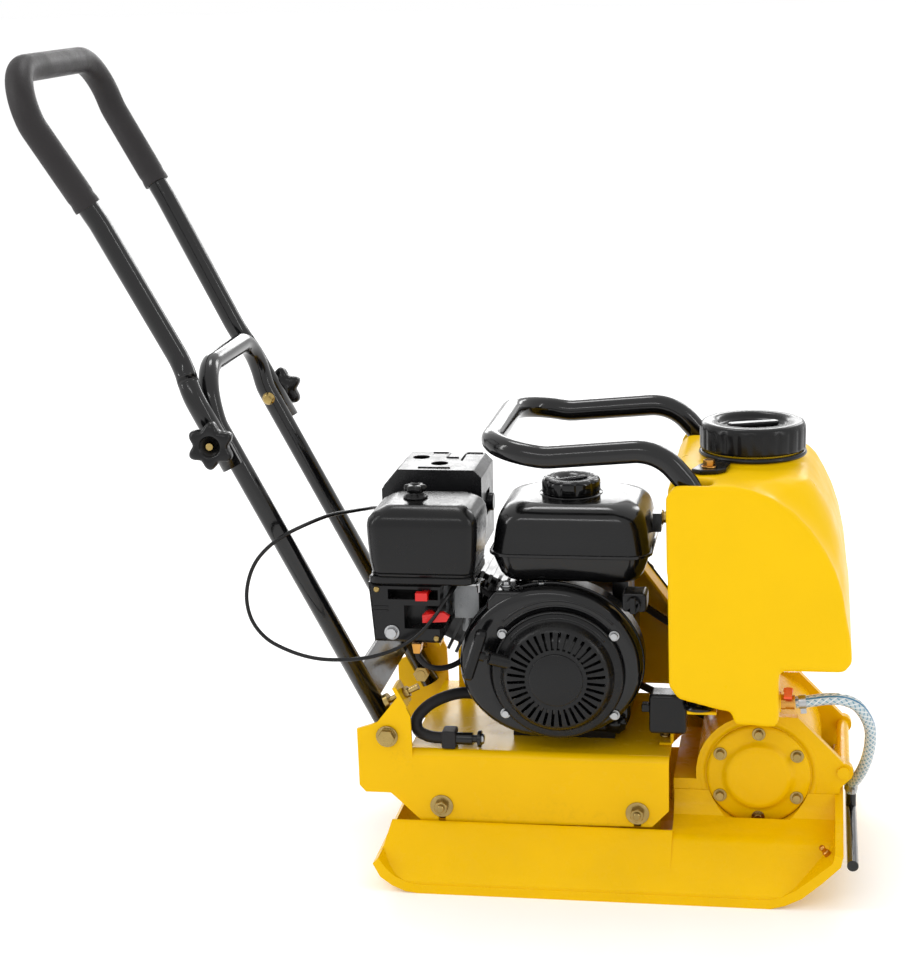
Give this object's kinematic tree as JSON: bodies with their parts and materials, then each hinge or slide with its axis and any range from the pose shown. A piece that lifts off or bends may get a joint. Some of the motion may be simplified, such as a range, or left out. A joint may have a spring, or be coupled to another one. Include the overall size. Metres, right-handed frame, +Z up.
{
  "type": "plate compactor",
  "caption": "Walk-behind forward plate compactor: petrol engine on a deck over a vibrating base plate, water tank with spray bar, roll bar and folding handle.",
  "frame": {"origin": "centre of the base plate, on its flat underside, at ground level", "axes": "+X forward (exciter and tank end), +Y the machine's left, +Z up"},
  "size_m": [1.0565, 0.43, 1.0286],
  "materials": {
    "yellow_paint": "semi-gloss yellow enamel",
    "tank_plastic": "moulded yellow polyethylene",
    "black_paint": "satin black enamel",
    "black_tube": "gloss black powder coat",
    "black_plastic": "satin moulded black plastic",
    "rubber": "black rubber",
    "steel": "machined steel",
    "zinc": "yellow-zinc plated",
    "brass": "brass",
    "cast_alloy": "cast aluminium",
    "dark_alloy": "black painted cast aluminium",
    "muffler_sheet": "pressed aluminised steel sheet",
    "red_plastic": "red plastic",
    "orange_plastic": "orange plastic",
    "clear_hose": "clear braided vinyl"
  },
  "bodies": {
    "base": {"base_plate": "yellow_paint", "exciter_housing": "yellow_paint", "exciter_cover_near": "yellow_paint", "exciter_cover_far": "yellow_paint", "exciter_bearing_near": "steel", "exciter_bearing_far": "steel", "spray_pipe": "black_tube", "rubber_mount_rear_near": "rubber", "rubber_mount_rear_far": "rubber", "rubber_mount_front_near": "rubber", "rubber_mount_front_far": "rubber", "engine_deck": "yellow_paint", "stop_bolt_near": "zinc", "stop_bolt_far": "zinc", "tank_bracket": "yellow_paint", "roll_bar": "black_tube", "belt_guard": "yellow_paint", "drive_belt": "rubber", "crankcase": "dark_alloy", "cylinder_head": "cast_alloy", "fan_housing": "black_paint", "recoil_cover": "black_paint", "fuel_tank": "black_paint", "air_cleaner_base": "black_plastic", "air_filter_element": "rubber", "carburettor": "cast_alloy", "muffler": "muffler_sheet", "muffler_guard": "muffler_sheet", "engine_switch": "black_plastic", "oil_alert_unit": "black_plastic", "oil_drain_hose": "rubber", "water_tank": "tank_plastic", "water_valve": "brass", "water_hose": "clear_hose", "throttle_cable": "black_plastic", "pivot_bolt_near": "zinc", "pivot_bolt_far": "zinc"},
    "exciter_rotor": {"eccentric_shaft": "steel", "driven_pulley": "steel"},
    "crank": {"crankshaft": "steel", "flywheel_fan": "cast_alloy", "clutch_pulley": "steel"},
    "handle_low": {"handle_lower": "black_tube", "carriage_bolt_near": "zinc", "carriage_bolt_far": "zinc"},
    "handle_up": {"handle_upper": "black_tube", "rubber_grip": "rubber"},
    "knob_near": {"star_knob_near": "black_plastic"},
    "knob_far": {"star_knob_far": "black_plastic"},
    "fuel_cap_body": {"fuel_cap": "black_paint"},
    "water_cap_body": {"water_tank_cap": "black_plastic"},
    "cleaner_cover": {"air_cleaner_cover": "black_plastic"},
    "cleaner_knob": {"air_cleaner_knob": "black_plastic"},
    "choke": {"choke_lever": "red_plastic"},
    "fuel_cock": {"fuel_cock_lever": "red_plastic"},
    "throttle": {"throttle_lever": "steel"},
    "hand_throttle": {"throttle_hand_lever": "black_plastic"},
    "ignition": {"switch_lever": "black_plastic"},
    "water_cock": {"water_valve_lever": "orange_plastic"},
    "starter": {"starter_grip": "black_plastic"}
  },
  "joints": [
    {"name": "crank_spin", "type": "hinge", "parent": "base", "child": "crank", "pos_m": [-0.0614, 0, 0.267], "axis": [0, 1, 0], "continuous": true},
    {"name": "exciter_spin", "type": "hinge", "parent": "base", "child": "exciter_rotor", "pos_m": [0.184, 0, 0.127], "axis": [0, 1, 0], "continuous": true},
    {"name": "handle_lean", "type": "hinge", "parent": "base", "child": "handle_low", "pos_m": [-0.279, 0, 0.179], "axis": [0, 1, 0], "range_deg": [-12, 0]},
    {"name": "handle_fold", "type": "hinge", "parent": "handle_low", "child": "handle_up", "pos_m": [-0.47822, 0, 0.56007], "axis": [0, 1, 0], "range_deg": [0, 108]},
    {"name": "knob_near_turn", "type": "hinge", "parent": "handle_low", "child": "knob_near", "pos_m": [-0.47822, 0, 0.56007], "axis": [0, 1, 0], "continuous": true},
    {"name": "knob_far_turn", "type": "hinge", "parent": "handle_low", "child": "knob_far", "pos_m": [-0.47822, 0, 0.56007], "axis": [0, 1, 0], "continuous": true},
    {"name": "fuel_cap_lift", "type": "slide", "parent": "base", "child": "fuel_cap_body", "axis": [0, 0, 1], "range_m": [0, 0.03]},
    {"name": "water_cap_lift", "type": "slide", "parent": "base", "child": "water_cap_body", "axis": [0, 0, 1], "range_m": [0, 0.05]},
    {"name": "cleaner_cover_lift", "type": "slide", "parent": "base", "child": "cleaner_cover", "axis": [0, 0, 1], "range_m": [0, 0.055]},
    {"name": "cleaner_knob_turn", "type": "hinge", "parent": "cleaner_cover", "child": "cleaner_knob", "pos_m": [-0.243, -0.093, 0.48], "axis": [0, 0, 1], "continuous": true},
    {"name": "choke_turn", "type": "hinge", "parent": "base", "child": "choke", "pos_m": [-0.226, -0.128, 0.366], "axis": [0, 0, 1], "range_deg": [-50, 0]},
    {"name": "fuel_cock_turn", "type": "hinge", "parent": "base", "child": "fuel_cock", "pos_m": [-0.222, -0.14, 0.337], "axis": [0, 1, 0], "range_deg": [0, 90]},
    {"name": "hand_throttle_turn", "type": "hinge", "parent": "base", "child": "hand_throttle", "pos_m": [-0.214, 0.12, 0.382], "axis": [0, 0, 1], "range_deg": [-60, 0]},
    {"name": "throttle_turn", "type": "hinge", "parent": "base", "child": "throttle", "pos_m": [-0.164, -0.1, 0.372], "axis": [0, 0, 1], "range_deg": [0, 25]},
    {"name": "ignition_turn", "type": "hinge", "parent": "base", "child": "ignition", "pos_m": [0.032, -0.14, 0.358], "axis": [0, 1, 0], "range_deg": [0, 60]},
    {"name": "water_cock_turn", "type": "hinge", "parent": "base", "child": "water_cock", "pos_m": [0.22, -0.13, 0.25], "axis": [0, 0, 1], "range_deg": [0, 90]},
    {"name": "starter_pull", "type": "slide", "parent": "base", "child": "starter", "axis": [-0.9158, -0.2688, 0.2986], "range_m": [0, 0.4], "stiffness_N_per_m": 60, "springref_m": -0.02}
  ],
  "couplings": [
    {"joint": "exciter_spin", "follows": "crank_spin", "ratio": 1.5122},
    {"joint": "throttle_turn", "follows": "hand_throttle_turn", "ratio": -0.41667}
  ]
}
